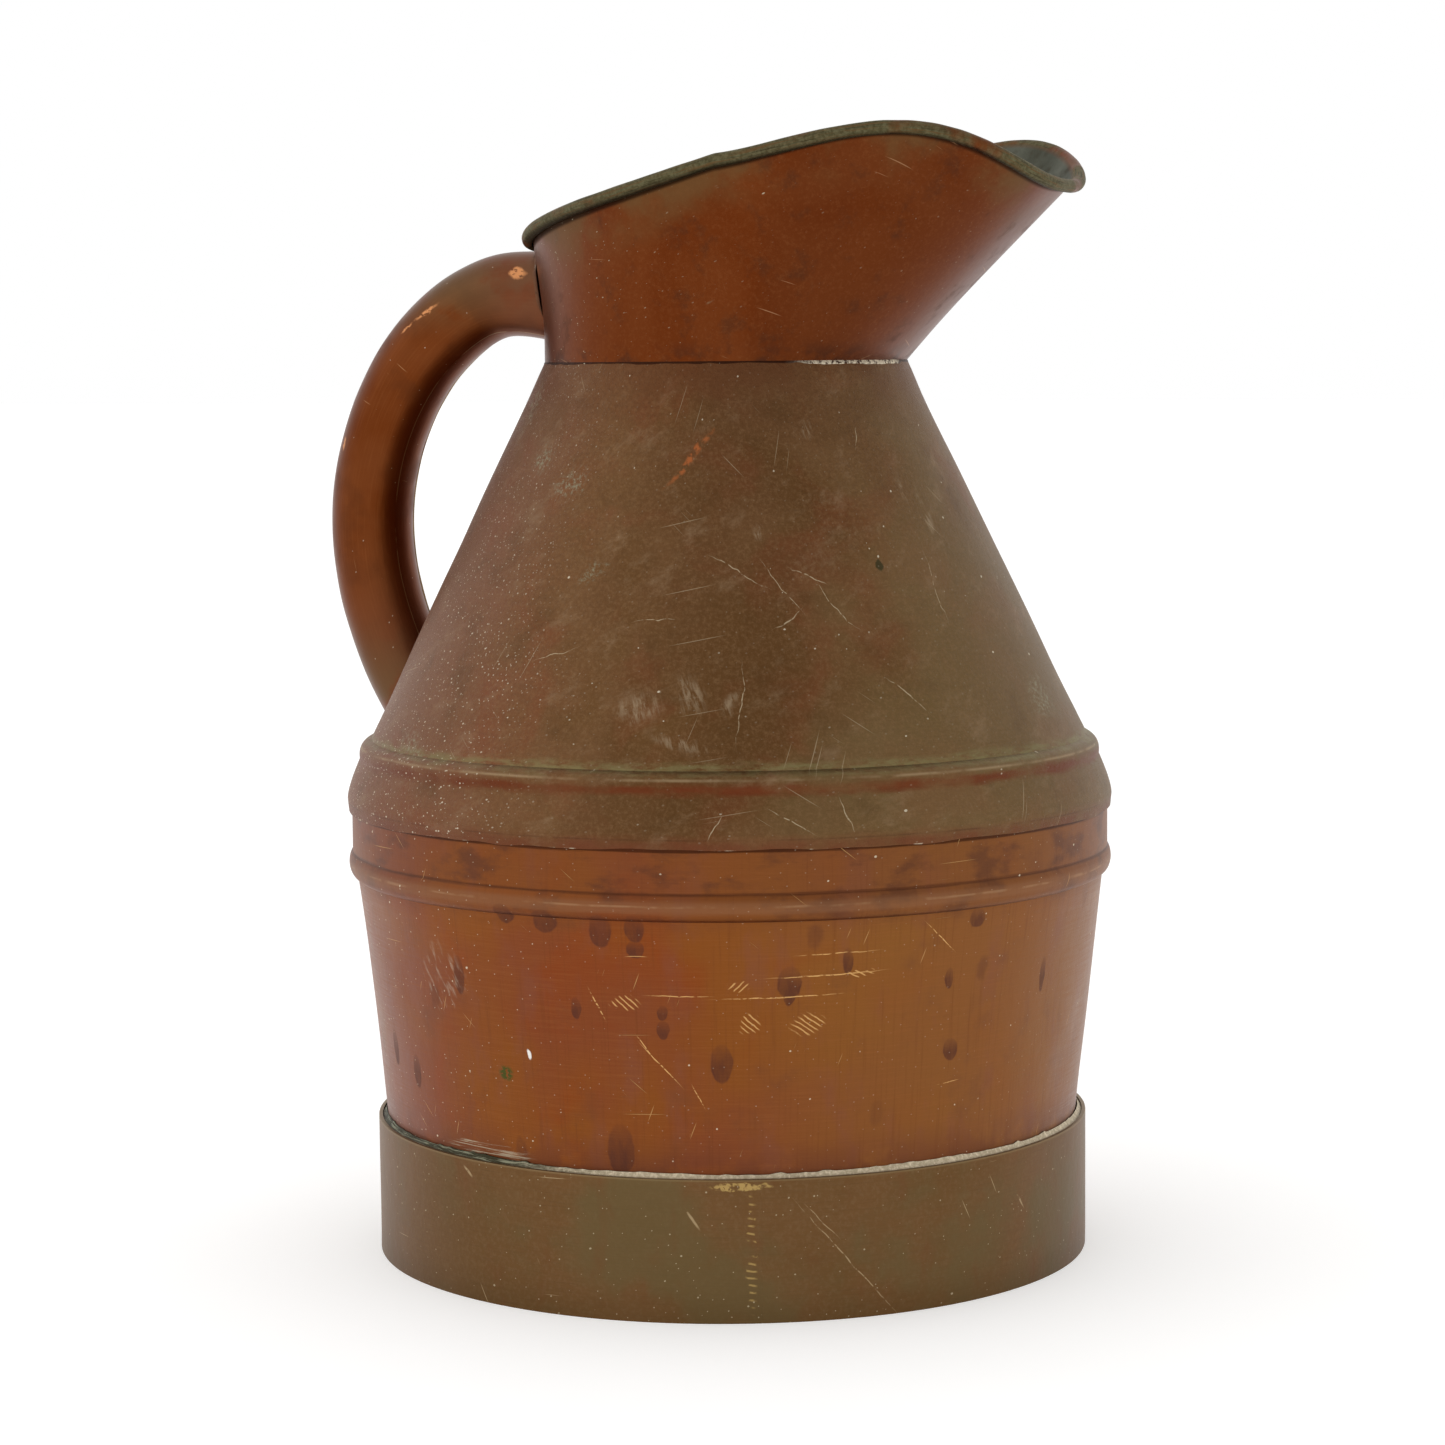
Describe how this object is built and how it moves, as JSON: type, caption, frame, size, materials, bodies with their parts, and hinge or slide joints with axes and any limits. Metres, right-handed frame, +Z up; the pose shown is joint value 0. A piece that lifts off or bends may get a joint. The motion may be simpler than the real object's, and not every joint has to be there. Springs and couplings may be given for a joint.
{
  "type": "copper water jug",
  "caption": "Sheet-copper water jug: tapered drum on a foot band, cone shoulder, flared oblique spout with a rolled rim, and a hollow side grip.",
  "frame": {"origin": "on the ground under the centre of the whole jug's box; the axis of the drum and cone stands 8.7 mm along +X from it", "axes": "+Z up the jug's axis, +X towards the spout's tip with the grip at -X, +Y across; Y = 0 is the plane of symmetry"},
  "size_m": [0.2623, 0.2446, 0.3531],
  "materials": {
    "drum_copper": "worn satin copper with brown drip stains and fine scratches",
    "shoulder_copper": "dull olive-brown patina over copper, scuffed",
    "spout_copper": "smooth dark red-brown copper",
    "grip_copper": "hand-polished orange-brown copper",
    "band_metal": "olive-brown brassy patina with bright scratches",
    "solder": "dull grey soft solder",
    "iron_wire": "dark iron wire"
  },
  "bodies": {
    "root": {"foot_band": "band_metal", "base_plate": "drum_copper", "lower_body": "drum_copper", "shoulder_cone": "shoulder_copper", "neck_spout": "spout_copper", "rim_wire": "iron_wire", "handle_shell": "grip_copper", "handle_strip": "grip_copper", "foot_band_solder": "solder", "base_solder": "solder", "shoulder_lap_solder": "solder", "neck_solder": "solder", "handle_upper_solder": "solder", "handle_lower_solder": "solder"}
  },
  "joints": []
}
